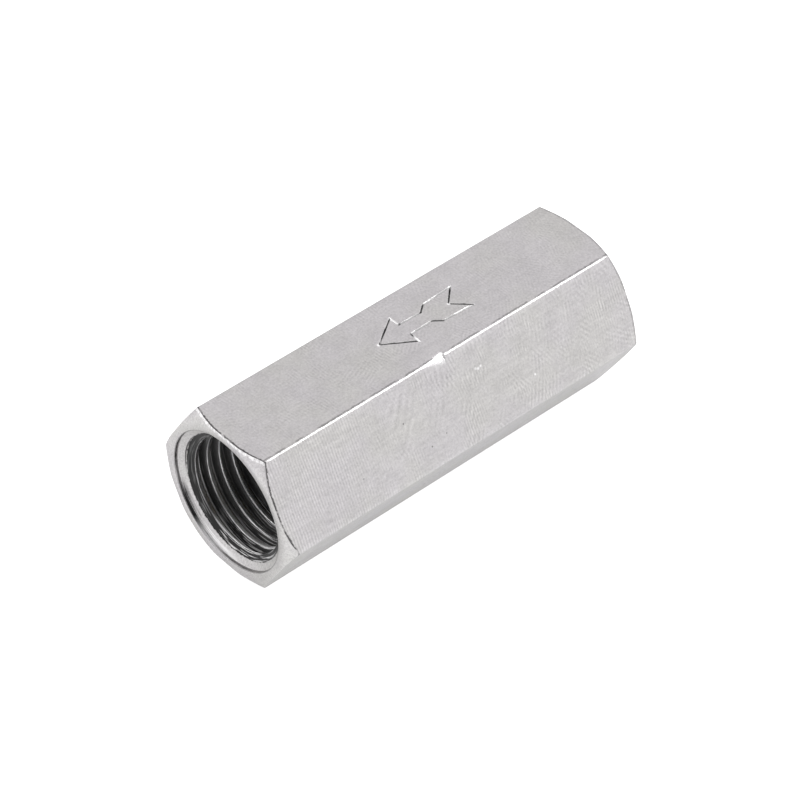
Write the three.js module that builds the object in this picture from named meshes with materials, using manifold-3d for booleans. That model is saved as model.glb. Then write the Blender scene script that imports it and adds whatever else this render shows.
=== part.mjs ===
// In-line check valve with a hexagon body and a female M14 x 1.5 port in each end.
//
// Units are millimetres. The origin is the middle of the body, on the bore axis.
// +X runs along the bore from the outlet face to the inlet face, so the fluid flows towards -X.
// +Z is up, through the flat that carries the flow arrow, and the body rests on the opposite flat.
import * as THREE from "three";
import { mergeVertices } from "three/addons/utils/BufferGeometryUtils.js";
import Module from "manifold-3d";

const wasm = await Module();
wasm.setup();

// How far a cutting shape runs past the surface it cuts.
const over = 1;

// ---- Driving dimensions ----

const acrossFlats = 17;
const bodyLength = 46.2;
const edgeBreak = 0.22; // how far the six long corners are cut back
const faceCircle = 8.6; // radius where each end face meets its turned chamfer
const endChamferSlope = Math.tan(Math.PI / 6); // axial over radial

const threadPitch = 1.5;
const threadMajor = 7; // radius of the thread's roots
const threadMinor = 6.25; // radius of the drilled bore, which leaves flat crests
const flankSlope = Math.tan(Math.PI / 6); // half of the 60 degree thread angle
const mouthRadius = 7.65; // short straight step inside each end face
const mouthStep = 0.42;
const mouthConeSlope = Math.tan(Math.PI / 6); // axial over radial, a 120 degree countersink
const reliefRadius = 7.15; // groove where the threading tool runs out
const reliefWidth = 1.5;
const portDepth = 12.5; // from an end face to the far side of its thread relief

const roundSides = 24; // facets on every round surface
const slip = 0.03; // radial gap between pieces pushed into one another
const runningGap = 0.05; // radial gap between the stem and its bush
const restGap = 0.02; // axial gap between pieces that rest on one another

const chamberRadius = 5.45;
const shoulderX = 8.4; // the seat ring rests against this step in the bore
const throatRadius = 3.6;

const seatLength = 3.1;
const seatBore = 3.4;
const seatLip = 0.4; // height of the raised sealing edge
const lipWidth = 0.35;
const sealGroove = { radius: 4.35, width: 1.5, fromShoulder: 1.4 };

const stemRadius = 1.25;
const poppetTravel = 3;
const stopGap = 0.05; // what is left between the poppet and the hub when it is fully open
const sealThickness = 0.9;
const discThickness = 1.4;
const discRadius = 4.3;
const washer = { radius: 2.75, thickness: 0.4 };
const nut = { acrossFlats: 5, thickness: 1.6 };
const spigotReach = 0.6; // thread that shows beyond the nut

const guideRadius = chamberRadius - slip;
const guideThickness = 2;
const guideX = -8.1; // outlet side of the spring guide
const hubRadius = 2.5;
const bushWall = 0.55;
const window = { inner: 3.75, outer: 4.9, arc: (66 * Math.PI) / 180, count: 4 };

const ring = { thickness: 1, inner: 4.85, outer: 5.85, grooveWidth: 1.1, grooveRadius: 5.95 };
const lug = { radius: 0.85, centre: 4.6, hole: 0.45, angle: (13 * Math.PI) / 180 };

const wireRadius = 0.3;
const coilRadius = 3.25;
const activeCoils = 4.5;
const endCoils = 1; // closed coils at each end
const endCoilPitch = 0.7;

const arrowDepth = 0.15;
const arrowLine = 0.26; // width of the stamped line
const arrowOffset = 0.17; // the stamp sits a little off the middle of its flat

// ---- Places along the bore that follow from the dimensions above ----

const outletX = -bodyLength / 2;
const inletX = bodyLength / 2;
const seatFaceX = shoulderX - restGap - seatLength;
const lipX = seatFaceX - seatLip; // where the rubber meets the lip
const sealX = lipX - restGap; // inlet side of the rubber ring
const discX = sealX - sealThickness; // inlet side of the poppet's disc
const discBackX = discX - discThickness;
const stopLength = 0.5;
const stopX = discBackX - stopLength; // shoulder on the stem that meets the hub
const hubX = stopX - poppetTravel - stopGap; // inlet end of the spring guide's hub
const guideFaceX = guideX + guideThickness; // the spring stands here
const stemEndX = -8.6;

// ---- Solids ----

function solidOf(geometry) {
  const bare = geometry.clone();
  bare.deleteAttribute("normal");
  bare.deleteAttribute("uv");
  const merged = mergeVertices(bare, 1e-4);
  return new wasm.Manifold(
    new wasm.Mesh({
      numProp: 3,
      vertProperties: new Float32Array(merged.attributes.position.array),
      triVerts: new Uint32Array(merged.index.array),
    }),
  );
}

function geometryOf(solid) {
  const mesh = solid.getMesh();
  const geometry = new THREE.BufferGeometry();
  geometry.setAttribute("position", new THREE.BufferAttribute(mesh.vertProperties, 3));
  geometry.setIndex(new THREE.BufferAttribute(mesh.triVerts, 1));
  const flat = geometry.toNonIndexed();
  flat.computeVertexNormals();
  return flat;
}

// Turns a profile about the bore axis. Each profile point is [x, radius]. A profile starts on its
// inner side, runs along that towards +X, and comes back along its outer side.
function turned(profile, sides = roundSides) {
  const points = profile.map(([x, radius]) => new THREE.Vector2(radius, x)).reverse();
  points.push(points[0].clone());
  return new THREE.LatheGeometry(points, sides).rotateZ(-Math.PI / 2);
}

// A plain tube, or a bar when the inner radius is 0.
function tube(fromX, toX, inner, outer, sides = roundSides) {
  const profile = [
    [fromX, inner],
    [toX, inner],
    [toX, outer],
    [fromX, outer],
  ];
  return turned(profile, sides);
}

// Extrudes an outline along the bore axis. The outline's x becomes -Z and its y becomes Y.
function prism(shape, fromX, length, curveSegments = roundSides) {
  return new THREE.ExtrudeGeometry(shape, { depth: length, bevelEnabled: false, curveSegments })
    .rotateY(Math.PI / 2)
    .translate(fromX, 0, 0);
}

// A right-handed helix about the bore axis. advance(turn) is how far it has moved along the bore
// after that many turns. A section extruded along it keeps its x pointing away from the axis and its
// y along the axis.
class BoreHelix extends THREE.Curve {
  constructor(startX, radius, turns, advance) {
    super();
    Object.assign(this, { startX, radius, turns, advance });
  }

  getPoint(t, target = new THREE.Vector3()) {
    const turn = t * this.turns;
    const angle = turn * 2 * Math.PI;
    const x = this.startX + this.advance(turn);
    return target.set(x, this.radius * Math.cos(angle), this.radius * Math.sin(angle));
  }

  // Points are spaced evenly by angle, so facets line up with those of the turned surfaces.
  getUtoTmapping(u) {
    return u;
  }

  computeFrenetFrames(segments) {
    const tangents = [];
    const normals = [];
    const binormals = [];
    for (let i = 0; i <= segments; i += 1) {
      const angle = (i / segments) * this.turns * 2 * Math.PI;
      normals.push(new THREE.Vector3(0, Math.cos(angle), Math.sin(angle)));
      binormals.push(new THREE.Vector3(-1, 0, 0));
      tangents.push(new THREE.Vector3(0, -Math.sin(angle), Math.cos(angle)));
    }
    return { tangents, normals, binormals };
  }
}

function coil(section, helix, sidesPerTurn) {
  const steps = Math.round(helix.turns * sidesPerTurn);
  return new THREE.ExtrudeGeometry(section, { steps, extrudePath: helix });
}

function polygon(points) {
  return new THREE.Shape(points.map(([x, y]) => new THREE.Vector2(x, y)));
}

function regularPolygon(sides, radius, startAngle = 0) {
  const points = [];
  for (let i = 0; i < sides; i += 1) {
    const angle = startAngle + (i * 2 * Math.PI) / sides;
    points.push([radius * Math.cos(angle), radius * Math.sin(angle)]);
  }
  return points;
}

// ---- Hexagon body ----

// Hexagon bar with its long corners broken. Corners point along +Y and -Y, flats face +Z and -Z.
function hexagonBar() {
  const corner = acrossFlats / Math.sqrt(3);
  const breakAngle = edgeBreak / corner;
  const points = [];
  for (let i = 0; i < 6; i += 1) {
    const angle = Math.PI / 2 + (i * Math.PI) / 3;
    for (const side of [-1, 1]) {
      const turnedBy = side * breakAngle;
      const radius = (acrossFlats / 2) / Math.cos(Math.PI / 6 - breakAngle);
      points.push([radius * Math.cos(angle + turnedBy), radius * Math.sin(angle + turnedBy)]);
    }
  }
  return prism(polygon(points), outletX, bodyLength);
}

// The turned shape that leaves a 30 degree chamfer on each end of the bar.
function chamferedBlank() {
  const outer = acrossFlats / Math.sqrt(3) + over;
  const depth = (outer - faceCircle) * endChamferSlope;
  const profile = [
    [outletX, 0],
    [inletX, 0],
    [inletX, faceCircle],
    [inletX - depth, outer],
    [outletX + depth, outer],
    [outletX, faceCircle],
  ];
  return turned(profile, 2 * roundSides);
}

// Everything bored out of the body before threading, as one turned solid.
function boreCore() {
  const mouthDepth = mouthStep + (mouthRadius - threadMinor) * mouthConeSlope;
  const outletEnd = outletX + portDepth;
  const inletEnd = inletX - portDepth;
  const grooveX = guideX - restGap;
  const profile = [
    [outletX - over, 0],
    [inletX + over, 0],
    [inletX + over, mouthRadius],
    [inletX - mouthStep, mouthRadius],
    [inletX - mouthDepth, threadMinor],
    [inletEnd + reliefWidth, threadMinor],
    [inletEnd + reliefWidth, reliefRadius],
    [inletEnd, reliefRadius],
    [inletEnd, throatRadius],
    [shoulderX, throatRadius],
    [shoulderX, chamberRadius],
    [grooveX, chamberRadius],
    [grooveX, ring.grooveRadius],
    [grooveX - ring.grooveWidth, ring.grooveRadius],
    [grooveX - ring.grooveWidth, chamberRadius],
    [outletEnd, chamberRadius],
    [outletEnd, reliefRadius],
    [outletEnd - reliefWidth, reliefRadius],
    [outletEnd - reliefWidth, threadMinor],
    [outletX + mouthDepth, threadMinor],
    [outletX + mouthStep, mouthRadius],
    [outletX - over, mouthRadius],
  ];
  return turned(profile);
}

// The helical groove of one port: a 60 degree trapezoid that reaches from just inside the crests
// out to the roots, starts outside the end face and stops inside the thread relief.
function threadGroove(startX, endX) {
  const rootHalf = threadPitch / 16;
  const insideDepth = threadMajor - threadMinor + 0.18; // past the crests, so no slivers stay
  const baseHalf = rootHalf + insideDepth * flankSlope;
  const section = polygon([
    [-insideDepth, -baseHalf],
    [0, -rootHalf],
    [0, rootHalf],
    [-insideDepth, baseHalf],
  ]);
  const steps = Math.round(((endX - startX) / threadPitch) * roundSides);
  const helix = new BoreHelix(startX, threadMajor, steps / roundSides, (turn) => turn * threadPitch);
  return coil(section, helix, roundSides);
}

// The corners of the flow arrow's outline on the top flat, seen from above, x along the bore. The
// tip points to the outlet and the tail is a swallow tail wider than the shaft.
function arrowOutline() {
  const half = [
    [-3.55, 0],
    [-0.3, 2.1],
    [-0.2, 0.85],
    [2.6, 0.8],
    [3.5, 1.5],
    [7.3, 1.68],
  ];
  const notch = [5.52, 0];
  const mirrored = half.slice(1).reverse().map(([x, y]) => [x, -y]);
  return [...half, notch, ...mirrored].map(([x, y]) => [x, y + arrowOffset]);
}

// One straight groove for each side of the arrow, with a round end so that corners close.
function arrowGrooves() {
  const corners = arrowOutline();
  const depth = 2 * arrowDepth;
  const strokes = corners.map(([x, y], i) => {
    const [nextX, nextY] = corners[(i + 1) % corners.length];
    const length = Math.hypot(nextX - x, nextY - y);
    const slot = new THREE.Shape();
    slot.absarc(0, 0, arrowLine / 2, Math.PI / 2, (3 * Math.PI) / 2);
    slot.lineTo(length, -arrowLine / 2);
    slot.lineTo(length, arrowLine / 2);
    const stroke = new THREE.ExtrudeGeometry(slot, {
      depth,
      bevelEnabled: false,
      curveSegments: 4,
    });
    stroke.rotateZ(Math.atan2(nextY - y, nextX - x));
    stroke.translate(x, y, acrossFlats / 2 - arrowDepth);
    return solidOf(stroke);
  });
  return strokes.reduce((all, stroke) => all.add(stroke));
}

function hexBody() {
  const threadStart = threadPitch * 0.43; // how far outside the face a groove begins
  const threadStop = portDepth - reliefWidth / 2;
  return geometryOf(
    solidOf(hexagonBar())
      .intersect(solidOf(chamferedBlank()))
      .subtract(solidOf(boreCore()))
      .subtract(solidOf(threadGroove(outletX - threadStart, outletX + threadStop)))
      .subtract(solidOf(threadGroove(inletX - threadStop, inletX + threadStart)))
      .subtract(arrowGrooves()),
  );
}

// ---- Seat ----

function seatRing() {
  const outer = chamberRadius - slip;
  const inletSide = shoulderX - restGap;
  const grooveStart = inletSide - sealGroove.fromShoulder + sealGroove.width / 2;
  const grooveEnd = grooveStart - sealGroove.width;
  const lipFoot = seatBore + lipWidth + seatLip;
  return turned([
    [lipX, seatBore],
    [inletSide, seatBore],
    [inletSide, outer],
    [grooveStart, outer],
    [grooveStart, sealGroove.radius],
    [grooveEnd, sealGroove.radius],
    [grooveEnd, outer],
    [seatFaceX, outer],
    [seatFaceX, lipFoot],
    [lipX, seatBore + lipWidth],
  ]);
}

// Rubber ring of eight-sided section, squeezed between the groove and the bore.
function seatORing() {
  const gap = 0.04;
  const inner = sealGroove.radius + gap;
  const outer = chamberRadius - gap;
  const middleX = shoulderX - restGap - sealGroove.fromShoulder;
  const middleRadius = (inner + outer) / 2;
  const half = (outer - inner) / 2;
  const axialHalf = sealGroove.width / 2 - 0.15;
  const start = Math.PI / 8;
  const squeeze = Math.cos(start);
  const section = regularPolygon(8, 1, start).map(([a, r]) => [
    middleX + (a * axialHalf) / squeeze,
    middleRadius + (r * half) / squeeze,
  ]);
  return turned(section);
}

// ---- Poppet ----

function poppet() {
  const spigotEnd = sealX + washer.thickness + nut.thickness + spigotReach + 2 * restGap;
  const tip = 0.25; // chamfer on both ends of the stem
  const discBevel = 0.3;
  const stopRadius = 2.2;
  return turned([
    [stemEndX, 0],
    [spigotEnd, 0],
    [spigotEnd, stemRadius - tip],
    [spigotEnd - tip, stemRadius],
    [discX, stemRadius],
    [discX, discRadius - discBevel],
    [discX - discBevel, discRadius],
    [discBackX, discRadius],
    [discBackX, stopRadius],
    [stopX, stopRadius],
    [stopX, stemRadius],
    [stemEndX + tip, stemRadius],
    [stemEndX, stemRadius - tip],
  ]);
}

function poppetSeal() {
  return tube(discX + restGap, sealX, stemRadius + slip, discRadius - 0.15);
}

function sealWasher() {
  const start = sealX + restGap;
  return tube(start, start + washer.thickness, stemRadius + slip, washer.radius);
}

function poppetNut() {
  const start = sealX + washer.thickness + 2 * restGap;
  const hexagon = polygon(regularPolygon(6, nut.acrossFlats / Math.sqrt(3), Math.PI / 6));
  const end = start + nut.thickness;
  const blank = solidOf(prism(hexagon, start, nut.thickness));
  const bore = solidOf(tube(start - over, end + over, 0, stemRadius + slip));
  const bevelRadius = nut.acrossFlats / 2;
  const cornerRadius = bevelRadius + 0.5;
  const bevelled = turned([
    [start, 0],
    [end, 0],
    [end, bevelRadius],
    [end - 0.3, cornerRadius],
    [start, cornerRadius],
  ]);
  return geometryOf(blank.intersect(solidOf(bevelled)).subtract(bore));
}

// ---- Spring, guide and snap ring ----

// Wire coil with one closed turn at each end, standing on the guide and pressing on the disc.
function closingSpring() {
  const startX = guideFaceX + wireRadius + restGap;
  const endX = discBackX - wireRadius - restGap;
  const closed = endCoils * endCoilPitch;
  const openPitch = (endX - startX - 2 * closed) / activeCoils;
  const turns = activeCoils + 2 * endCoils;
  const advance = (turn) => {
    const first = Math.min(turn, endCoils) * endCoilPitch;
    const open = Math.min(Math.max(turn - endCoils, 0), activeCoils) * openPitch;
    const last = Math.max(turn - endCoils - activeCoils, 0) * endCoilPitch;
    return first + open + last;
  };
  const helix = new BoreHelix(startX, coilRadius, turns, advance);
  const wireSides = 6;
  const coilSides = 16;
  return coil(polygon(regularPolygon(wireSides, wireRadius)), helix, coilSides);
}

function flowWindow(index) {
  const middle = (index * 2 * Math.PI) / window.count + Math.PI / window.count;
  const from = middle - window.arc / 2;
  const to = middle + window.arc / 2;
  const shape = new THREE.Shape();
  shape.absarc(0, 0, window.outer, from, to, false);
  shape.absarc(0, 0, window.inner, to, from, true);
  return solidOf(prism(shape, guideX - over, guideThickness + 2 * over, 8));
}

function springGuide() {
  const bushRadius = stemRadius + runningGap + bushWall;
  const innerRadius = bushRadius + slip;
  let guide = solidOf(
    turned([
      [guideX, innerRadius],
      [hubX, innerRadius],
      [hubX, hubRadius],
      [guideFaceX, hubRadius],
      [guideFaceX, guideRadius],
      [guideX, guideRadius],
    ]),
  );
  for (let i = 0; i < window.count; i += 1) {
    guide = guide.subtract(flowWindow(i));
  }
  return geometryOf(guide);
}

function guideBush() {
  const inner = stemRadius + runningGap;
  return tube(guideX, hubX, inner, inner + bushWall);
}

// Snap ring: an open ring with a drilled lug at each end of the gap, which faces up.
function retainingRing() {
  const shape = new THREE.Shape();
  const gap = lug.angle;
  shape.absarc(0, 0, ring.outer, Math.PI + gap / 3, 3 * Math.PI - gap / 3, false);
  shape.absarc(0, 0, ring.inner, 3 * Math.PI - gap / 3, Math.PI + gap / 3, true);
  const startX = guideX - restGap - (ring.grooveWidth + ring.thickness) / 2;
  let solid = solidOf(prism(shape, startX, ring.thickness));
  for (const side of [-1, 1]) {
    const angle = Math.PI + side * gap;
    const centre = [lug.centre * Math.cos(angle), lug.centre * Math.sin(angle)];
    const disc = new THREE.Shape();
    disc.absarc(centre[0], centre[1], lug.radius, 0, 2 * Math.PI, false);
    const hole = new THREE.Shape();
    hole.absarc(centre[0], centre[1], lug.hole, 0, 2 * Math.PI, false);
    solid = solid.add(solidOf(prism(disc, startX, ring.thickness, 8)));
    solid = solid.subtract(solidOf(prism(hole, startX - over, ring.thickness + 2 * over, 6)));
  }
  return geometryOf(solid);
}

// ---- Assembly ----

const nickel = { color: 0xc6c4c3, roughness: 0.38, metalness: 1 };
const brass = { color: 0xb99a5b, roughness: 0.35, metalness: 1 };
const steel = { color: 0xb4b6b8, roughness: 0.3, metalness: 1 };
const springSteel = { color: 0x9a9c9e, roughness: 0.28, metalness: 1 };
const rubber = { color: 0x1c1c1e, roughness: 0.75, metalness: 0 };
const bearingPlastic = { color: 0xe9e6dc, roughness: 0.5, metalness: 0 };

function piece(name, geometry, finish) {
  const mesh = new THREE.Mesh(geometry, new THREE.MeshStandardMaterial(finish));
  mesh.name = name;
  return mesh;
}

const housing = new THREE.Group();
housing.add(
  piece("hex_body", hexBody(), nickel),
  piece("seat_ring", seatRing(), steel),
  piece("seat_o_ring", seatORing(), rubber),
  piece("spring_guide", springGuide(), brass),
  piece("guide_bush", guideBush(), bearingPlastic),
  piece("retaining_ring", retainingRing(), springSteel),
  piece("closing_spring", closingSpring(), springSteel),
);

const movingPoppet = new THREE.Group();
movingPoppet.add(
  piece("poppet", poppet(), brass),
  piece("poppet_seal", poppetSeal(), rubber),
  piece("seal_washer", sealWasher(), steel),
  piece("poppet_nut", poppetNut(), steel),
);

const checkValve = new THREE.Group();
checkValve.add(housing, movingPoppet);

export default checkValve;
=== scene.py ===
"""Looks of the in-line check valve: a plated hexagon body with its poppet, spring and seat inside.

The pieces and the camera are given in millimetres, the floor and the lights in metres. The bore axis
is X: the outlet face is at -X, the inlet face at +X, and the flat with the flow arrow faces +Z.
"""

import math
from functools import partial, reduce

import bmesh
import bpy
import numpy as np
from mathutils import Matrix, Vector, noise


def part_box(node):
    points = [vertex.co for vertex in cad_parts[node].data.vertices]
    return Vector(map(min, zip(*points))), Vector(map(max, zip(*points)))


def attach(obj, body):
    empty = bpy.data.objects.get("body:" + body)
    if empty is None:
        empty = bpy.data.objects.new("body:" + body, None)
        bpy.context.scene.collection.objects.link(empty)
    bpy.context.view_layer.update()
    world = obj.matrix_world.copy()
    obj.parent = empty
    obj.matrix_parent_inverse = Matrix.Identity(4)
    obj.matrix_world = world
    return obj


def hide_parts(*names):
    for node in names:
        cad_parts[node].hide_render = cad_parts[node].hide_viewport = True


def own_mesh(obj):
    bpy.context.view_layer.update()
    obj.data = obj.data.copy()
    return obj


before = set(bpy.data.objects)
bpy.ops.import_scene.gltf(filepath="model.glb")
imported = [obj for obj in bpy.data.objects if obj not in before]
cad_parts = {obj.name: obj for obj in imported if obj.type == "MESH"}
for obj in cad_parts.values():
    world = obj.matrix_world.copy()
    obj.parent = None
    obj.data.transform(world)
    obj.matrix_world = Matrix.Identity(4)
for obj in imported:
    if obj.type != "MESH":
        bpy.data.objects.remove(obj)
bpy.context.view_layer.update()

MM = 0.001


def extent(node):
    """A CAD node's lowest and highest corners in millimetres."""
    low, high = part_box(node)
    return Vector(low) / MM, Vector(high) / MM


# ---- Sizes taken from the CAD frame ----

body_low, body_high = extent("hex_body")
APOTHEM = body_high.z
OUTLET_X = body_low.x
INLET_X = body_high.x

seat_low, seat_high = extent("seat_ring")
guide_low, guide_high = extent("spring_guide")
bush_low, bush_high = extent("guide_bush")
snap_low, snap_high = extent("retaining_ring")
spring_low, spring_high = extent("closing_spring")
oring_low, oring_high = extent("seat_o_ring")
poppet_low, poppet_high = extent("poppet")
seal_low, seal_high = extent("poppet_seal")
washer_low, washer_high = extent("seal_washer")
nut_low, nut_high = extent("poppet_nut")

# ---- Sizes of the body that the boxes don't hold ----

HALF_SIDE = math.radians(30)  # angle between the middle of a hexagon's side and its corner
CORNER_REACH = APOTHEM / math.cos(HALF_SIDE)  # the long corners before they are rounded
CORNER_ROUND = 0.29
FACE_CIRCLE = 8.6  # radius where the turned chamfers start on the end faces
CHAMFER_SLOPE = math.tan(math.radians(30))
LEAST_CHAMFER = 0.035
THREAD_PITCH = 1.5
THREAD_MAJOR = 7.0  # radius at the root of the groove
THREAD_MINOR = 6.19  # radius at the crests
MOUTH_RADIUS = 7.65
MOUTH_STEP = 0.42  # depth of the short wall outside the countersink
MOUTH_CONE_SLOPE = math.tan(math.radians(30))
PORT_DEPTH = 12.5
RELIEF_WIDTH = 1.5
RELIEF_RADIUS = 7.15
OUTLET_ROOT = OUTLET_X - 0.43 * THREAD_PITCH  # where each thread's groove begins, at angle 0
INLET_ROOT = INLET_X - PORT_DEPTH + RELIEF_WIDTH / 2
CHAMBER_RADIUS = 5.45
THROAT_RADIUS = 3.6
SNAP_GROOVE_RADIUS = 5.95
STEM_RADIUS = 1.25
STEM_CLEARANCE = 0.05
GAP = 0.02  # between a piece and the one it rests on

# ---- Meshes ----

AROUND = 96  # points round a turned piece
ARC_STEPS = 4  # steps in a rounded corner of a profile


def put(name, data):
    """Makes an object of some data and adds it to the scene."""
    made = bpy.data.objects.new(name, data)
    bpy.context.scene.collection.objects.link(made)
    return made


class Skin:
    """One closed surface, built from rings of points that are joined ring to ring."""

    def __init__(self, name):
        self.name = name
        self.mesh = bmesh.new()

    def ring(self, points):
        return [self.mesh.verts.new(Vector(p) * MM) for p in points]

    def wall(self, a, b, skip=()):
        count = len(a)
        for j in range(count):
            if j not in skip:
                k = (j + 1) % count
                self.mesh.faces.new((a[j], a[k], b[k], b[j]))

    def walls(self, rings, closed=False):
        pairs = list(zip(rings, rings[1:]))
        if closed:
            pairs.append((rings[-1], rings[0]))
        for a, b in pairs:
            self.wall(a, b)

    def edges(self, ring):
        pairs = zip(ring, ring[1:] + ring[:1])
        return [self.mesh.edges.get(pair) or self.mesh.edges.new(pair) for pair in pairs]

    def fill(self, edges, normal):
        """Fills a flat area that these edges bound, holes left open."""
        bmesh.ops.triangle_fill(self.mesh, use_beauty=True, edges=edges, normal=normal)

    def fill_plate(self, ring_pairs):
        """Fills both faces of a plate, from the (low, high) rings of each of its edges."""
        for index, facing in ((0, -1), (1, 1)):
            self.fill([e for pair in ring_pairs for e in self.edges(pair[index])], (facing, 0, 0))

    def tip(self, ring, point):
        """Closes a ring onto one point."""
        apex = self.mesh.verts.new(Vector(point) * MM)
        for a, b in zip(ring, ring[1:] + ring[:1]):
            self.mesh.faces.new((a, b, apex))

    def piece(self, sharp=35):
        """Makes the object. Edges that turn by more than sharp degrees stay crisp."""
        loose = [v for v in self.mesh.verts if not v.link_faces]
        bmesh.ops.delete(self.mesh, geom=loose, context="VERTS")
        bmesh.ops.recalc_face_normals(self.mesh, faces=self.mesh.faces)
        data = bpy.data.meshes.new(self.name)
        self.mesh.to_mesh(data)
        self.mesh.free()
        data.shade_smooth()
        data.set_sharp_from_angle(angle=math.radians(sharp))
        made = put(self.name, data)
        even = made.modifiers.new("even_normals", "WEIGHTED_NORMAL")
        even.keep_sharp = True
        return made


def circle(x, radius):
    """Points round the bore axis at one place along it."""
    points = []
    for j in range(AROUND):
        angle = 2 * math.pi * j / AROUND
        points.append((x, radius * math.cos(angle), radius * math.sin(angle)))
    return points


def rounded(profile, closed):
    """Replaces each corner (x, radius, rounding) of a profile by an arc of that rounding, or by a
    smaller one where its sides are short."""
    count = len(profile)
    path = []
    for i, (x, radius, rounding) in enumerate(profile):
        here = Vector((x, radius))
        ends = not closed and i in (0, count - 1)
        if ends or rounding <= 0:
            path.append(here)
            continue
        before = Vector(profile[i - 1][:2])
        after = Vector(profile[(i + 1) % count][:2])
        to_before, to_after = (before - here).normalized(), (after - here).normalized()
        half = to_before.angle(to_after) / 2
        reach = rounding / math.tan(half)
        reach = min(reach, 0.48 * (before - here).length, 0.48 * (after - here).length)
        bulge = reach * math.tan(half)
        middle = here + (to_before + to_after).normalized() * (bulge / math.sin(half))
        start = here + to_before * reach - middle
        end = here + to_after * reach - middle
        for step in range(ARC_STEPS + 1):
            direction = start.normalized().slerp(end.normalized(), step / ARC_STEPS)
            path.append(middle + direction * bulge)
    return path


def turned(name, profile):
    """Turns a closed profile of (x, radius, rounding) about the bore axis."""
    skin = Skin(name)
    rings = [skin.ring(circle(p.x, p.y)) for p in rounded(profile, closed=True)]
    skin.walls(rings, closed=True)
    return skin.piece()


def sleeve(name, low, high, bore, roundings):
    """A plain ring as long and as wide as its CAD box. The roundings belong to the bore's low and
    high ends, then to the outside's high and low ends."""
    corners = [(low.x, bore), (high.x, bore), (high.x, high.z), (low.x, high.z)]
    profile = [(x, radius, rounding) for (x, radius), rounding in zip(corners, roundings)]
    return turned(name, profile)


def offset_loop(corners, distance):
    """Moves each side of an anticlockwise loop outwards by a distance, with mitred corners."""
    moved = []
    count = len(corners)
    for i, corner in enumerate(corners):
        before = (corner - corners[i - 1]).normalized()
        after = (corners[(i + 1) % count] - corner).normalized()
        normal_before = Vector((before.y, -before.x))
        normal_after = Vector((after.y, -after.x))
        mitre = (normal_before + normal_after).normalized()
        moved.append(corner + mitre * (distance / max(0.25, mitre.dot(normal_after))))
    return moved


# ---- Threads ----


def port_radius(x, angles, root_x):
    """Radius of the threaded port wall all round, at one place along the bore: a 60 degree thread
    with a rounded root and a flat crest."""
    turn = (x - root_x) / THREAD_PITCH - angles / (2 * math.pi)
    distance = np.abs(turn - np.round(turn)) * THREAD_PITCH
    rounding = 0.1 * THREAD_PITCH
    lean = math.radians(30)
    touch = rounding * math.cos(lean)
    base = THREAD_MAJOR - rounding
    arc = base + np.sqrt(np.maximum(rounding**2 - distance**2, 0))
    flank = base + rounding * math.sin(lean) - (distance - touch) / math.tan(lean)
    return np.maximum(np.where(distance < touch, arc, flank), THREAD_MINOR)


# ---- Hexagon body ----


def hexagon_points(apothem, rounding, steps_per_flat):
    """Points (y, z) round a hexagon with rounded corners, from the +Y end of its +Z side on. They
    stand a little closer towards the corners."""
    half = apothem / math.sqrt(3) - rounding * math.tan(HALF_SIDE)
    evenness = 0.35
    arc_steps = 6
    points = []
    for k in range(6):
        facing = math.radians(90 + 60 * k)
        normal = Vector((math.cos(facing), math.sin(facing)))
        along = Vector((-math.sin(facing), math.cos(facing)))
        for i in range(steps_per_flat + 1):
            t = 2 * i / steps_per_flat - 1
            place = evenness * t + (1 - evenness) * math.sin(t * math.pi / 2)
            points.append(normal * apothem + along * (place * half))
        corner = facing + HALF_SIDE
        centre = Vector((math.cos(corner), math.sin(corner)))
        centre *= (apothem - rounding) / math.cos(HALF_SIDE)
        for i in range(1, arc_steps):
            angle = facing + 2 * HALF_SIDE * i / arc_steps
            points.append(centre + Vector((math.cos(angle), math.sin(angle))) * rounding)
    return points


class HexagonRings:
    """Rings for a hexagon part: round inside, hexagonal outside, all with the same columns."""

    def __init__(self, apothem, rounding, steps_per_flat):
        points = hexagon_points(apothem, rounding, steps_per_flat)
        self.count = len(points)
        self.outer = np.array([p.length for p in points])
        self.unit_y = np.array([p.x / p.length for p in points])
        self.unit_z = np.array([p.y / p.length for p in points])
        self.angles = np.arctan2(self.unit_z, self.unit_y)
        self.rings = []

    def add(self, x, radius):
        """Adds a ring, whose x and radius may differ from column to column. Returns its number."""
        along = np.broadcast_to(x, self.count)
        radius = np.broadcast_to(radius, self.count)
        points = np.stack([along, radius * self.unit_y, radius * self.unit_z], axis=1)
        self.rings.append(points)
        return len(self.rings) - 1

    def chamfered_end(self, face_x, side, face_circle, outwards):
        """The flat annulus rim, the turned chamfer and the start of the flats at one end. side is -1
        for an end at low x. outwards lists the rings from the face to the flats. Extra rings near
        the chamfer's edges keep them crisp."""
        crisp = 0.055
        least_width = 0.05
        face = np.minimum(face_circle, self.outer - least_width)
        depth = np.maximum(CHAMFER_SLOPE * (self.outer - face_circle), LEAST_CHAMFER)
        near_edge = np.clip(crisp / np.maximum(self.outer - face, crisp), 0, 0.4)
        rows = [
            (0 * depth, face - crisp),
            (depth * near_edge, face + (self.outer - face) * near_edge),
            (depth * (1 - near_edge), self.outer + (face - self.outer) * near_edge),
            (depth + crisp, self.outer),
        ]
        for inset, radius in rows if outwards else reversed(rows):
            self.add(face_x - side * inset, radius)


# the part of the top flat that is filled with the arrow
ARROW_BLOCK = {"from_x": -4.7, "to_x": 9.0, "half_width": 3.05}

# a knock on the long corner at 120 degrees, deepest at to_x
NICK = {"from_x": -3.0, "to_x": 0.22, "end_x": 0.34, "depth": 0.28, "facing": 132}
NICK_CORNER = 120


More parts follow.
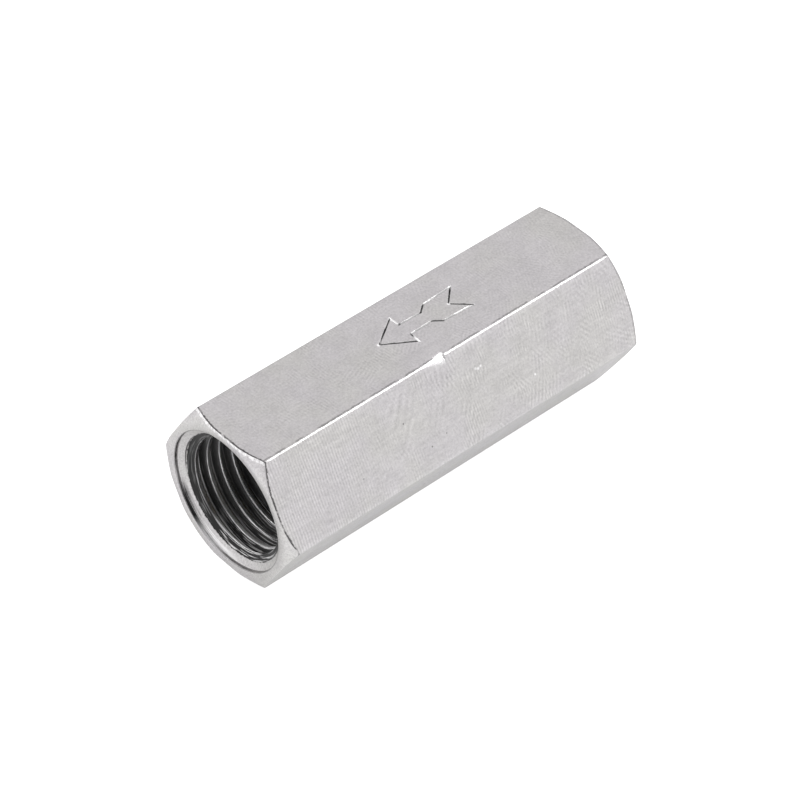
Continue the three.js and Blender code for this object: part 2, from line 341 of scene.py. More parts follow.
def nick_depth(x):
    """The dent deepens slowly along the corner and stops abruptly."""
    if x <= NICK["from_x"] or x >= NICK["end_x"]:
        return 0.0
    if x > NICK["to_x"]:
        return NICK["depth"] * (NICK["end_x"] - x) / (NICK["end_x"] - NICK["to_x"])
    return NICK["depth"] * ((x - NICK["from_x"]) / (NICK["to_x"] - NICK["from_x"])) ** 1.2


def body_rings():
    """All rings of the body in order: in through the outlet port, on through the bore and out of
    the inlet port, then back along the outside. Also returns the numbers of the arrow block's
    first and last rings."""
    grid = HexagonRings(APOTHEM, CORNER_ROUND, steps_per_flat=20)
    add_port(grid, OUTLET_X, -1, OUTLET_ROOT, inwards=True)
    add_inner_bore(grid)
    add_port(grid, INLET_X, 1, INLET_ROOT, inwards=False)
    grid.chamfered_end(INLET_X, 1, FACE_CIRCLE, outwards=True)
    plain_end = 1.6
    grid.add(INLET_X - plain_end, grid.outer)
    first = grid.add(ARROW_BLOCK["to_x"], grid.outer)
    nick_cosine = np.cos(grid.angles - math.radians(NICK["facing"]))
    nick_reach = CORNER_REACH * math.cos(math.radians(NICK["facing"] - NICK_CORNER))
    beside_arrow = [4.0, 0.8, 0.36, NICK["end_x"], 0.28, NICK["to_x"], 0.1, -0.1, -0.3, -0.55]
    beside_arrow += [-0.9, -1.3, -1.7, -2.1, -2.5, NICK["from_x"]]
    for x in beside_arrow:
        limit = (nick_reach - nick_depth(x)) / np.maximum(nick_cosine, 0.2)
        grid.add(x, np.minimum(grid.outer, limit) if nick_depth(x) > 0 else grid.outer)
    last = grid.add(ARROW_BLOCK["from_x"], grid.outer)
    for x in (-10, -16, OUTLET_X + plain_end):
        grid.add(x, grid.outer)
    grid.chamfered_end(OUTLET_X, -1, FACE_CIRCLE, outwards=False)
    return grid, first, last


def add_port(grid, face_x, side, root_x, inwards):
    """Mouth step, countersink, thread and thread relief of one port."""
    rim = 0.04
    rows = [(0, MOUTH_RADIUS + rim), (rim, MOUTH_RADIUS), (0.2, MOUTH_RADIUS)]
    rows += [(MOUTH_STEP - 0.03, MOUTH_RADIUS), (MOUTH_STEP + 0.02, MOUTH_RADIUS - 0.03)]
    thread_end = PORT_DEPTH - RELIEF_WIDTH
    for depth in np.arange(MOUTH_STEP + 0.06, thread_end - 0.02, THREAD_PITCH / 24):
        cone = MOUTH_RADIUS - (depth - MOUTH_STEP) / MOUTH_CONE_SLOPE
        thread = port_radius(face_x - side * depth, grid.angles, root_x)
        rows.append((depth, np.maximum(thread, cone)))
    relief = [
        (thread_end - 0.02, THREAD_MAJOR - 0.1, 0),
        (thread_end, RELIEF_RADIUS, 0.06),
        (PORT_DEPTH, RELIEF_RADIUS, 0.15),
        (PORT_DEPTH, CHAMBER_RADIUS + 0.2, 0),
    ]
    rows += [(p.x, p.y) for p in rounded(relief, closed=False)[1:]]
    for depth, radius in rows if inwards else reversed(rows):
        grid.add(face_x - side * depth, radius)


def add_inner_bore(grid):
    """Chamber with the snap ring's groove, shoulder and throat, from the outlet port to the inlet's."""
    groove_width = 1.1
    shoulder = seat_high.x + GAP
    groove_to = guide_low.x - GAP
    groove_from = groove_to - groove_width
    profile = [
        (OUTLET_X + PORT_DEPTH, CHAMBER_RADIUS + 0.2, 0),
        (OUTLET_X + PORT_DEPTH + 0.15, CHAMBER_RADIUS, 0.05),
        (groove_from, CHAMBER_RADIUS, 0.03),
        (groove_from, SNAP_GROOVE_RADIUS, 0.05),
        (groove_to, SNAP_GROOVE_RADIUS, 0.05),
        (groove_to, CHAMBER_RADIUS, 0.03),
        (shoulder, CHAMBER_RADIUS, 0.08),
        (shoulder, THROAT_RADIUS, 0.1),
        (INLET_X - PORT_DEPTH, THROAT_RADIUS, 0.15),
        (INLET_X - PORT_DEPTH, CHAMBER_RADIUS + 0.2, 0),
    ]
    for point in rounded(profile, closed=False)[1:-1]:
        grid.add(point.x, point.y)


def arrow_corners():
    """The flow arrow's outline, anticlockwise seen from above. The tip points to the outlet."""
    tip = [(-3.55, 0)]
    half = [(-0.3, 2.1), (-0.2, 0.85), (2.6, 0.8), (3.5, 1.5), (7.3, 1.68)]
    notch = [(5.52, 0)]
    clockwise = tip + half + notch + [(x, -y) for x, y in reversed(half)]
    off_middle = 0.17
    return [Vector((x, y + off_middle)) for x, y in reversed(clockwise)]


def stamped_arrow(skin, hole_edges):
    """Fills the left-out block of the top flat with an outline arrow pressed into it: a V groove
    with slightly raised lips, a little uneven in depth like a hand-struck stamp."""
    groove_half, lip_half = 0.12, 0.22
    depth, lip = 0.12, 0.01
    point_spacing = 0.3
    unevenness, unevenness_scale = 0.55, 0.8
    cross_section = [(lip_half, 0), (groove_half, lip), (0, -depth), (-groove_half, lip), (-lip_half, 0)]
    corners = arrow_corners()
    loops = [offset_loop(corners, offset) for offset, _ in cross_section]
    rings = []
    for loop, (_, height) in zip(loops, cross_section):
        points = []
        for i, corner in enumerate(loop):
            following = loop[(i + 1) % len(loop)]
            side = corners[(i + 1) % len(corners)] - corners[i]
            pieces = 2 + round(side.length / point_spacing)
            for step in range(pieces):
                point = corner.lerp(following, step / pieces)
                place = (point.x * unevenness_scale, point.y * unevenness_scale, 3.0)
                struck = 1 + unevenness * noise.noise(place)
                points.append((point.x, point.y, APOTHEM + height * struck))
        rings.append(skin.ring(points))
    skin.walls(rings)
    skin.fill(hole_edges + skin.edges(rings[0]), (0, 0, 1))
    skin.fill(skin.edges(rings[-1]), (0, 0, 1))


def hex_body():
    """The whole body. The faces of the arrow block are left out and its inner points deleted, and
    the stamped arrow fills the hole."""
    grid, first, last = body_rings()
    skin = Skin("plated_body")
    rings = [skin.ring(points) for points in grid.rings]
    across, height = grid.outer * grid.unit_y, grid.outer * grid.unit_z
    in_block = (np.abs(height - APOTHEM) < 1e-6) & (np.abs(across) < ARROW_BLOCK["half_width"])
    block = np.flatnonzero(in_block).tolist()
    faces_left_out = set(block[:-1])
    for i in range(len(rings)):
        following = (i + 1) % len(rings)
        skip = faces_left_out if first <= i < last else ()
        skin.wall(rings[i], rings[following], skip)
    border = [rings[first][j] for j in block]
    border += [rings[i][block[-1]] for i in range(first + 1, last)]
    border += [rings[last][j] for j in reversed(block)]
    border += [rings[i][block[0]] for i in range(last - 1, first, -1)]
    inner = [rings[i][j] for i in range(first + 1, last) for j in block[1:-1]]
    hole_edges = skin.edges(border)
    bmesh.ops.delete(skin.mesh, geom=inner, context="VERTS")
    stamped_arrow(skin, hole_edges)
    return skin.piece(sharp=50)


# ---- Seat ----


def seat_ring():
    """Ring with a raised lip for the rubber disc and a groove for its own O-ring."""
    outer = seat_high.z
    bore = 3.4
    lip_height, lip_width = 0.4, 0.35
    groove, groove_width = 4.35, 1.5
    groove_to = seat_high.x - 0.65
    groove_from = groove_to - groove_width
    lip_x = seat_low.x
    face_x = lip_x + lip_height
    profile = [
        (lip_x, bore, 0.1),
        (seat_high.x, bore, 0.25),
        (seat_high.x, outer, 0.15),
        (groove_to, outer, 0.05),
        (groove_to, groove, 0.1),
        (groove_from, groove, 0.1),
        (groove_from, outer, 0.05),
        (face_x, outer, 0.2),
        (face_x, bore + lip_width + lip_height, 0.12),
        (lip_x, bore + lip_width, 0.08),
    ]
    return turned("machined_seat", profile)


def seat_o_ring():
    """Rubber ring pressed oval in its groove."""
    middle = (oring_low.x + oring_high.x) / 2
    half_length = (oring_high.x - oring_low.x) / 2
    inner, outer = 4.38, oring_high.z
    centre, half_width = (inner + outer) / 2, (outer - inner) / 2
    power = 2.6  # 2 would be an ellipse
    skin = Skin("squeezed_o_ring")
    sides = 24
    rings = []
    for i in range(sides):
        angle = 2 * math.pi * i / sides
        squared = (abs(math.cos(angle)) ** power + abs(math.sin(angle)) ** power) ** (-1 / power)
        x = middle + half_length * squared * math.cos(angle)
        radius = centre + half_width * squared * math.sin(angle)
        rings.append(skin.ring(circle(x, radius)))
    skin.walls(rings, closed=True)
    return skin.piece(sharp=80)


# ---- Poppet ----

SPIGOT_PITCH = 0.45
SPIGOT_GROOVE = 0.22


def spigot_rows(from_x, to_x):
    """Rings of a fine male thread with a tapered start."""
    taper = 0.25
    angles = np.arange(AROUND) * 2 * math.pi / AROUND
    rows = []
    steps = round((to_x - from_x) / (SPIGOT_PITCH / 10))
    for i in range(steps + 1):
        x = from_x + (to_x - from_x) * i / steps
        turn = x / SPIGOT_PITCH - angles / (2 * math.pi)
        ridge = np.abs(turn - np.round(turn)) * 2
        groove = SPIGOT_GROOVE * np.clip(ridge * 1.3 - 0.1, 0, 1)
        end_taper = taper * np.clip(1 - (to_x - x) / taper, 0, 1)
        reach = STEM_RADIUS - np.maximum(groove, end_taper)
        rows.append(np.stack([np.full(AROUND, x), reach * np.cos(angles), reach * np.sin(angles)], 1))
    return rows


def poppet():
    """Stem with a drilled centre, shoulder that stops on the guide, disc and threaded spigot."""
    tail, tip = poppet_low.x, poppet_high.x
    centre_depth, centre_radius = 0.25, 0.45
    shoulder_radius, shoulder_length = 2.2, 0.5
    disc_radius, disc_thickness = poppet_high.z, 1.4
    disc_front = seal_low.x - GAP
    disc_back = disc_front - disc_thickness
    stop = disc_back - shoulder_length
    profile = [
        (tail, 0, 0),
        (tail + centre_depth, 0.3, 0),
        (tail, centre_radius, 0.02),
        (tail, STEM_RADIUS, 0.3),
        (stop, STEM_RADIUS, 0.12),
        (stop, shoulder_radius, 0.1),
        (disc_back, shoulder_radius, 0.15),
        (disc_back, disc_radius, 0.2),
        (disc_front, disc_radius, 0.35),
        (disc_front, STEM_RADIUS, 0.05),
        (washer_high.x - 0.2, STEM_RADIUS, 0),
    ]
    path = rounded(profile, closed=False)
    skin = Skin("turned_poppet")
    rings = [skin.ring(circle(p.x, p.y)) for p in path[1:]]
    rings += [skin.ring(row) for row in spigot_rows(washer_high.x, tip)]
    skin.walls(rings)
    skin.tip(rings[0], (tail + centre_depth, 0, 0))
    skin.tip(rings[-1], (tip, 0, 0))
    return skin.piece(sharp=40)


def poppet_seal():
    return sleeve("seal_disc", seal_low, seal_high, STEM_RADIUS + 0.03, (0.05, 0.05, 0.2, 0.12))


def seal_washer():
    return sleeve("clamp_washer", washer_low, washer_high, STEM_RADIUS + 0.03, (0.04, 0.06, 0.12, 0.04))


def poppet_nut():
    """Small hexagon nut with a plain bore, chamfered on both faces."""
    apothem = nut_high.y
    grid = HexagonRings(apothem, 0.08, steps_per_flat=14)
    low, high = nut_low.x, nut_high.x
    bore = STEM_RADIUS + 0.06
    lead, lead_depth = 0.2, 0.15
    face_circle = apothem * 0.97
    grid.add(low, bore + lead)
    grid.add(low + lead_depth, bore)
    grid.add(high - lead_depth, bore)
    grid.add(high, bore + lead)
    grid.chamfered_end(high, 1, face_circle, outwards=True)
    grid.chamfered_end(low, -1, face_circle, outwards=False)
    skin = Skin("hexagon_nut")
    swapped = [0, 2, 1]  # turns the hexagon's flats to face along Y
    rings = [skin.ring(points[:, swapped]) for points in grid.rings]
    skin.walls(rings, closed=True)
    return skin.piece(sharp=50)


# ---- Spring, guide, bush and snap ring ----


def closing_spring():
    """Wire coil: closed end coils ground flat, open coils between them."""
    wire = 0.3
    coil = spring_high.z - wire
    start_x, end_x = spring_low.x + wire, spring_high.x - wire
    open_coils, end_coils, end_pitch = 4.5, 1.0, 0.62
    ground = 0.1
    turns = open_coils + 2 * end_coils
    open_pitch = (end_x - start_x - 2 * end_coils * end_pitch) / open_coils
    steps = round(turns * 48)
    sides = 16
    skin = Skin("wire_spring")
    rings = []
    for i in range(steps + 1):
        turn = turns * i / steps
        along = start_x + min(turn, end_coils) * end_pitch
        along += min(max(turn - end_coils, 0), open_coils) * open_pitch
        along += max(turn - end_coils - open_coils, 0) * end_pitch
        angle = 2 * math.pi * turn
        points = []
        for side in range(sides):
            round_wire = 2 * math.pi * side / sides
            radius = coil + wire * math.cos(round_wire)
            x = along + wire * math.sin(round_wire)
            x = min(max(x, spring_low.x + ground), spring_high.x - ground)
            points.append((x, radius * math.cos(angle), radius * math.sin(angle)))
        rings.append(skin.ring(points))
    skin.walls(rings)
    for ring in (rings[0], rings[-1]):
        skin.mesh.faces.new(ring)
    return skin.piece(sharp=40)


def arc_points(radius, start, end, steps):
    """Flat points on an arc about the origin, from one angle to another."""
    return [Vector((math.cos(a), math.sin(a))) * radius for a in np.linspace(start, end, steps)]


def rounded_corners(corners, rounding):
    """Rounds the sharp corners of a flat loop and leaves its shallow ones alone."""
    steps = 5
    loop = []
    count = len(corners)
    for i, corner in enumerate(corners):
        before, after = corners[i - 1] - corner, corners[(i + 1) % count] - corner
        if before.angle(after) > math.radians(150):
            loop.append(corner)
            continue
        start = corner + before.normalized() * min(rounding, before.length * 0.5)
        end = corner + after.normalized() * min(rounding, after.length * 0.5)
        for step in range(steps + 1):
            t = step / steps
            loop.append((1 - t) ** 2 * start + 2 * t * (1 - t) * corner + t**2 * end)
    return loop


def at(x, loop):
    """Places a flat loop (y, z) at one place along the bore."""
    return [(x, p.x, p.y) for p in loop]


def plate_walls(skin, loop, low, high, bevel, inwards):
    """The edge of a plate round one loop, bevelled at both faces. Returns its two face rings."""
    sign = -1 if inwards else 1
    inset = offset_loop(loop, -sign * bevel)
    rows = [(low, inset), (low + bevel, loop), (high - bevel, loop), (high, inset)]
    rings = [skin.ring(at(x, points)) for x, points in rows]
    skin.walls(rings)
    return rings[0], rings[-1]


def spring_guide():
    """Disc with four flow windows and a long hub that carries the stem's bush."""
    bevel = 0.08
    disc_thickness = 2.0
    low, hub = guide_low.x, guide_high.x
    face = low + disc_thickness
    hub_radius = 2.5
    bush_wall, bush_gap = 0.55, 0.03
    inner = STEM_RADIUS + STEM_CLEARANCE + bush_wall + bush_gap
    window_inner, window_outer = 3.75, 4.9
    arc = math.radians(66)
    windows = 4
    skin = Skin("flow_guide")
    rim = [Vector(p[1:]) for p in circle(0, guide_high.z)]
    ring_pairs = [plate_walls(skin, rim, low, face, bevel, inwards=False)]
    for k in range(windows):
        middle = (k + 0.5) * 2 * math.pi / windows
        loop = arc_points(window_outer, middle - arc / 2, middle + arc / 2, 20)
        loop += arc_points(window_inner, middle + arc / 2, middle - arc / 2, 16)
        loop = rounded_corners(loop, 0.3)
        ring_pairs.append(plate_walls(skin, loop, low, face, bevel, inwards=True))
    hub_profile = [
        (low, inner + bevel, 0),
        (low + bevel, inner, 0),
        (hub, inner, 0.06),
        (hub, hub_radius, 0.12),
        (face, hub_radius, 0.25),
        (face, hub_radius + 0.35, 0),
    ]
    hub_rings = [skin.ring(circle(p.x, p.y)) for p in rounded(hub_profile, closed=False)]
    skin.walls(hub_rings)
    ring_pairs.append((hub_rings[0], hub_rings[-1]))
    skin.fill_plate(ring_pairs)
    return skin.piece()


def guide_bush():
    bore = STEM_RADIUS + STEM_CLEARANCE
    return sleeve("stem_bush", bush_low, bush_high, bore, (0.12, 0.12, 0.08, 0.08))


def retaining_ring():
    """Stamped snap ring, open at the top, with a drilled lug on each side of the gap."""
    low, high = snap_low.x, snap_high.x
    outer, inner = -snap_low.z, 4.85
    lug_radius, lug_centre, hole_radius = 0.85, 4.6, 0.45
    lug_angle = math.radians(13)
    gap_half = lug_angle / 3
    top = math.pi / 2
    lug_reach = lug_angle + lug_radius / lug_centre
    outline = arc_points(outer, top + gap_half, top + 2 * math.pi - gap_half, 120)
    right = Vector((math.cos(top - lug_angle), math.sin(top - lug_angle))) * lug_centre
    left = Vector((-right.x, right.y))
    outline += [right + p for p in arc_points(lug_radius, math.radians(200), math.radians(350), 16)]
    outline += arc_points(inner, top - lug_reach, top + lug_reach - 2 * math.pi, 110)
    outline += [left + p for p in arc_points(lug_radius, math.radians(190), math.radians(340), 16)]
    skin = Skin("snap_ring")
    ring_pairs = [plate_walls(skin, rounded_corners(outline, 0.12), low, high, 0.07, inwards=False)]
    sides = 32
    for centre in (left, right):
        hole = [centre + p for p in arc_points(hole_radius, 0, 2 * math.pi * (1 - 1 / sides), sides)]
        ring_pairs.append(plate_walls(skin, hole, low, high, 0.05, inwards=True))
    skin.fill_plate(ring_pairs)
    return skin.piece()


# ---- Materials ----


class Nodes:
    """Adds nodes to a tree. Except for node and feed, each method returns an output socket."""

    def __init__(self, tree):
        self.tree = tree

    def feed(self, socket, value):
        if isinstance(value, bpy.types.NodeSocket):
            self.tree.links.new(value, socket)
        else:
            socket.default_value = value

    def node(self, kind, inputs=(), **settings):
        made = self.tree.nodes.new("ShaderNode" + kind)
        for name, value in settings.items():
            setattr(made, name, value)
        for key, value in dict(inputs).items():
            self.feed(made.inputs[key], value)
        return made

    def math(self, operation, a, b=0.0):
        return self.node("Math", {0: a, 1: b}, operation=operation).outputs[0]

    def times(self, *values):
        return reduce(partial(self.math, "MULTIPLY"), values)

    def plus(self, *values):
        return reduce(partial(self.math, "ADD"), values)

    def highest(self, *values):
        return reduce(partial(self.math, "MAXIMUM"), values)

    def minus(self, a, b):
        return self.math("SUBTRACT", a, b)

    def size(self, value):
        """The value without its sign."""
        return self.math("ABSOLUTE", value)

    def vector(self, operation, a, b=(0, 0, 0), scale=1.0):
        node = self.node("VectorMath", {0: a, 1: b, 3: scale}, operation=operation)
        return node.outputs["Value" if operation in ("LENGTH", "DOT_PRODUCT") else "Vector"]

    def split(self, vector):
        return self.node("SeparateXYZ", {0: vector}).outputs

    def join(self, x, y, z):
        return self.node("CombineXYZ", {0: x, 1: y, 2: z}).outputs[0]

    def noise(self, place, scale, detail, roughness=0.55):
        """Noise from 0 to 1, mostly near the middle."""
        inputs = {"Vector": place, "Scale": scale, "Detail": detail, "Roughness": roughness}
        return self.node("TexNoise", inputs).outputs["Fac"]

    def uneven(self, place, scale, detail, roughness=0.55):
        """The same noise about zero."""
        return self.minus(self.noise(place, scale, detail, roughness), 0.5)

    def ripple(self, distance, spacing):
        """Regular ridges, from -1 to 1."""
        return self.math("SINE", self.times(distance, 2 * math.pi / spacing))

    def spread(self, value, low, high, to_low=0.0, to_high=1.0):
        """Maps low..high onto to_low..to_high, held at both ends."""
        inputs = enumerate((value, low, high, to_low, to_high))
        return self.node("MapRange", inputs, clamp=True).outputs[0]

    def band(self, value, rise_from, rise_to, fall_from, fall_to):
        """1 inside a band of values and 0 outside it, with soft ends."""
        return self.times(self.spread(value, rise_from, rise_to), self.spread(value, fall_to, fall_from))

    def pick(self, share, a, b):
        """Mixes two numbers."""
        return self.node("Mix", {"Factor": share, 2: a, 3: b}, data_type="FLOAT").outputs[0]

    def blend(self, share, a, b):
        """Mixes two colours."""
        return self.node("Mix", {"Factor": share, 6: a, 7: b}, data_type="RGBA").outputs[2]

    def paint(self, base, *layers):
        """Lays colours over a base, each with its share."""
        for share, colour in layers:
            base = self.blend(share, base, colour)
        return base


class Finish(Nodes):
    """One material. Places are in mm, inset is the distance along the bar from the nearer end face,
    and around is the angle about the bore."""

    def __init__(self, name):
        self.material = bpy.data.materials.new(name)
        self.material.use_nodes = True
        super().__init__(self.material.node_tree)
        self.shader = self.tree.nodes["Principled BSDF"]
        self.place = self.vector("SCALE", self.node("TexCoord").outputs["Object"], scale=1 / MM)
        self.x, self.y, self.z = self.split(self.place)
        squares = self.plus(self.math("POWER", self.y, 2.0), self.math("POWER", self.z, 2.0))
        self.radius = self.math("SQRT", squares)
        self.around = self.math("ARCTAN2", self.z, self.y)
        self.inset = self.minus(INLET_X, self.size(self.x))
        facing = self.split(self.node("NewGeometry").outputs["Normal"])
        self.facing_x = self.size(facing[0])
        self.facing_y = self.size(facing[1])
        self.facing_up = facing[2]
        self.slanted = self.size(self.times(facing[0], facing[1]))

    def distance(self, place):
        return self.vector("LENGTH", self.vector("SUBTRACT", self.place, place))

    def cloud(self, scale, detail, *mapping):
        """Noise of the place, mapped the way spread maps it."""
        return self.spread(self.noise(self.place, scale, detail), *mapping)

    def patches(self, shift):
        """Soft patches, 0 between them and 1 inside."""
        shifted = self.vector("ADD", self.place, (shift, 0.0, 0.0))
        return self.spread(self.noise(shifted, 0.35, 3.0), 0.50, 0.68)

    def bump(self, height, depth_mm):
        node = self.node("Bump", {"Height": height, "Distance": depth_mm * MM, "Strength": 1.0})
        self.feed(self.shader.inputs["Normal"], node.outputs[0])

    def surface(self, colour, roughness, metallic):
        self.feed(self.shader.inputs["Base Color"], colour)
        self.feed(self.shader.inputs["Roughness"], roughness)
        self.feed(self.shader.inputs["Metallic"], metallic)
        return self.material


def grey(value, warm=0.0):
    return (value * (1 + warm), value, value * (1 - warm), 1)


def flat_marks(g):
    """What the flats show: straight cutter lines and two sets of arcs, each in its own patches, with
    the straight ones strongest on the sides near the outlet end, and faint streaks along the bar."""
    wobble = g.times(g.noise(g.place, 0.25, 1.0), 0.5)
    near_outlet = g.times(
        g.spread(g.x, -7.0, -15.0),
        g.spread(g.facing_y, 0.3, 0.7),
        g.cloud(0.5, 3.0, 0.35, 0.6, 0.3, 1.2),
    )
    elsewhere = g.minus(1.0, near_outlet)
    marks = g.times(g.uneven(g.join(g.times(g.x, 0.06), g.y, g.z), 3.2, 3.0), 4.0)
    for place, spacing, patch in (
        (g.x, 0.31, g.highest(g.patches(0.0), near_outlet)),
        (g.distance((-14.0, 14.0, 0.0)), 0.34, g.times(g.patches(40.0), elsewhere)),
        (g.distance((30.0, 9.0, 6.0)), 0.36, g.times(g.patches(80.0), elsewhere)),
    ):
        lines = g.ripple(g.plus(place, wobble), spacing)
        marks = g.plus(marks, g.times(lines, patch, 1.6))
    return marks


def burr_lines(g, turned_face):
    """Where a turned chamfer cuts into an upper flat: how dark the painted shade along the ragged line
    on the flat is, and how bright the painted highlight on the burr beside the top flat is."""
    ragged = g.times(g.uneven(g.place, 2.8, 4.0, 0.7), 0.45)
    chamfer = g.highest(g.times(g.minus(g.radius, FACE_CIRCLE), CHAMFER_SLOPE), LEAST_CHAMFER)
    past_chamfer = g.plus(g.minus(g.inset, chamfer), ragged)
    # painted shade in the crevice along the ragged line on the flat
    dark = g.times(
        g.band(past_chamfer, -0.02, 0.04, 0.16, 0.24),
        g.cloud(0.9, 2.0, 0.34, 0.42),
        g.minus(1.0, turned_face),
        g.spread(g.z, -1.5, 0.5),
        g.spread(g.x, -1.0, 1.0, 0.9, 0.35),
    )
    below_top = g.plus(g.minus(APOTHEM, g.z), ragged)
    # painted highlight on the burr at the chamfer's edge by the top flat
    bright = g.times(g.spread(below_top, 0.3, 0.2), turned_face, g.cloud(3.0, 3.0, 0.38, 0.55))
    return dark, bright


def corner_line(g):
    """A thin ragged line of painted shade on the top flat, just above the long corner that carries the
    nick, along the upper edge of the corner's highlight.
    """
    ragged = g.times(g.uneven(g.place, 2.2, 3.0), 0.14)
    to_corner = g.minus(g.minus(CORNER_REACH, g.radius), ragged)
    return g.times(
        g.band(to_corner, 0.065, 0.085, 0.135, 0.175),
        g.spread(g.facing_up, 0.88, 0.94),
        g.spread(g.y, -4.0, -4.2),
        g.cloud(0.7, 3.0, 0.38, 0.52),
    )


def nick_scuff(g):
    """Scuffed metal in the lower half of the nick."""
    return g.times(
        g.band(g.x, -1.8, -0.6, 0.35, 0.5),
        g.spread(g.radius, CORNER_REACH - 0.455, CORNER_REACH - 0.415),
        g.spread(g.y, -3.5, -4.0),
        g.band(g.z, 7.0, 7.3, 8.15, 8.35),
        g.cloud(7.0, 3.0, 0.40, 0.62),
    )


def stamped_colour(g, base):
    """The arrow's groove: painted shade where its edges slant across the bar, matt greyer metal along
    the bar, which dims their highlight, and edges square to the bar with a painted highlight at their
    outer ends and painted shade near the arrow's middle. Returns the groove, its colour and where it is
    matt."""
    beside = g.size(g.y)
    below_top = g.minus(APOTHEM, g.z)
    groove = g.times(
        g.band(below_top, 0.015, 0.03, 0.4, 0.5),
        g.spread(beside, 3.4, 3.3),
        g.spread(g.inset, 11.0, 11.1),
    )
    slanted = g.spread(g.slanted, 0.06, 0.12)
    lengthwise = g.spread(g.facing_y, 0.3, 0.5)
    # painted highlight on the outer ends of the edges square to the bar, painted shade near the arrow's
    # middle
    square = g.blend(g.spread(beside, 0.9, 1.3), grey(0.1), grey(0.97))
    unshaded_wall_colour = g.blend(slanted, g.blend(lengthwise, square, grey(0.45)), base)
    # painted shade on the walls that slant across the bar, uneven in patches
    slanted_painted_shade = g.times(slanted, g.cloud(1.3, 2.0, 0.34, 0.42, 0.35, 0.9))
    matt = g.times(lengthwise, g.minus(1.0, slanted), groove, 0.8)
    return groove, g.blend(slanted_painted_shade, unshaded_wall_colour, grey(0.06)), matt


def mouth_step(g):
    """The short wall round the countersink: painted shade in streaks on one side, which spills onto the
    cone, rough painted highlights in streaks below it, and a line of painted shade on the rim. Returns
    the painted shade, the painted highlights on the wall and those on the cone."""
    past_wall = g.minus(g.radius, MOUTH_RADIUS)
    wall = g.times(g.band(past_wall, -0.15, -0.09, 0.09, 0.13), g.spread(g.inset, 0.01, 0.04))
    cone = g.band(past_wall, -0.45, -0.3, -0.09, -0.05)
    # a line of painted shade round the rim of the step
    rim = g.times(g.band(past_wall, -0.01, 0.01, 0.05, 0.08), g.spread(g.inset, 0.03, 0.06, 0.5, 0.0))
    streak_noise = g.noise(g.join(g.times(g.x, 9.0), g.around, 0.0), 1.6, 3.0)

    # painted shade in streaks on one side of the wall and on the cone beside it
    shaded_side = g.band(g.around, -1.3, -1.0, -0.55, -0.3)
    wall_painted_shade = g.times(wall, g.spread(streak_noise, 0.36, 0.46))
    cone_painted_shade = g.times(cone, g.spread(streak_noise, 0.40, 0.55), 0.75)
    streaked_painted_shade = g.times(g.plus(wall_painted_shade, cone_painted_shade), shaded_side)

    # painted highlights in streaks on the lower side of the wall and the cone
    lit_side = g.band(g.around, -1.75, -1.5, -1.1, -0.85)
    on_wall = g.times(wall, g.spread(streak_noise, 0.42, 0.52), lit_side)
    on_cone = g.times(cone, g.spread(streak_noise, 0.38, 0.5), lit_side)
    return g.highest(streaked_painted_shade, rim), on_wall, on_cone


def thread_share(g):
    """How much of a point belongs to the thread, whose edge on the countersink is chipped."""
    chips = g.times(g.uneven(g.place, 3.0, 3.0), 0.25)
    inside = g.times(
        g.spread(g.plus(g.radius, chips), THREAD_MAJOR - 0.02, THREAD_MAJOR - 0.08),
        g.spread(g.radius, 3.0, 5.0),
    )
    return g.times(
        g.highest(inside, g.spread(g.inset, 1.2, 1.4)),
        g.spread(g.inset, MOUTH_STEP + 0.1, MOUTH_STEP + 0.2),
        g.spread(g.radius, 8.0, 7.6),
    )


def thread_colour(g, share):
    """Flanks painted dark as shade, darkest near the mouth, with fine lines along the helix painted
    lighter on the lit side; crests lighter from wear and a painted highlight, and a painted highlight
    along the roots. Returns the thread's colour and where it is matt."""
    helix = g.minus(g.x, g.times(g.around, THREAD_PITCH / (2 * math.pi)))
    chatter = g.noise(g.join(helix, g.times(g.around, 0.3), g.radius), 7.0, 2.0)
    # the lower side of the bore, where the fine lines and crests get painted highlights
    lit_thread_side = g.band(g.around, -3.0, -2.4, -1.5, -0.9)
    fine_line = g.blend(lit_thread_side, grey(0.15), grey(0.8))
    # painted shade on the flanks, darkest near the mouth
    flank = g.spread(g.inset, 1.2, 5.0, 0.02, 0.14)
    colour = g.blend(g.spread(chatter, 0.53, 0.64), g.join(flank, flank, flank), fine_line)

    # deep in the bore, only a crest's edge towards the mouth is lighter, from wear and a painted
    # highlight
    in_inlet = g.spread(g.x, -0.1, 0.1)
    past_root = g.minus(helix, g.pick(in_inlet, OUTLET_ROOT, INLET_ROOT))
    past_root = g.math("FLOORED_MODULO", past_root, THREAD_PITCH)
    past_crest = g.times(g.minus(past_root, THREAD_PITCH / 2), g.pick(in_inlet, 1.0, -1.0))
    near_mouth = g.spread(g.inset, 3.4, 2.4)
    worn_lit_crest_edge = g.highest(g.spread(past_crest, -0.04, -0.1), near_mouth)
    crest = g.times(g.spread(g.radius, THREAD_MINOR + 0.07, THREAD_MINOR + 0.01), worn_lit_crest_edge)
    # crests lighter from wear and a painted highlight, brightest on the lit side
    worn = g.pick(lit_thread_side, g.spread(g.inset, 2.0, 3.5, 0.5, 0.95), 0.95)
    colour = g.blend(crest, colour, g.join(worn, worn, worn))

    # painted highlight along the roots
    root = g.spread(g.radius, THREAD_MAJOR - 0.07, THREAD_MAJOR - 0.02)
    root = g.times(root, g.band(g.inset, 1.7, 2.0, 3.0, 4.5))
    dull_crest = g.times(crest, lit_thread_side, near_mouth, 0.8)
    # the dark flanks are matt, which keeps their painted shade dark
    dark_flank_matt = g.times(g.minus(1.0, crest), 0.6)
    return g.blend(root, colour, grey(0.6)), g.times(g.highest(dull_crest, dark_flank_matt), share)


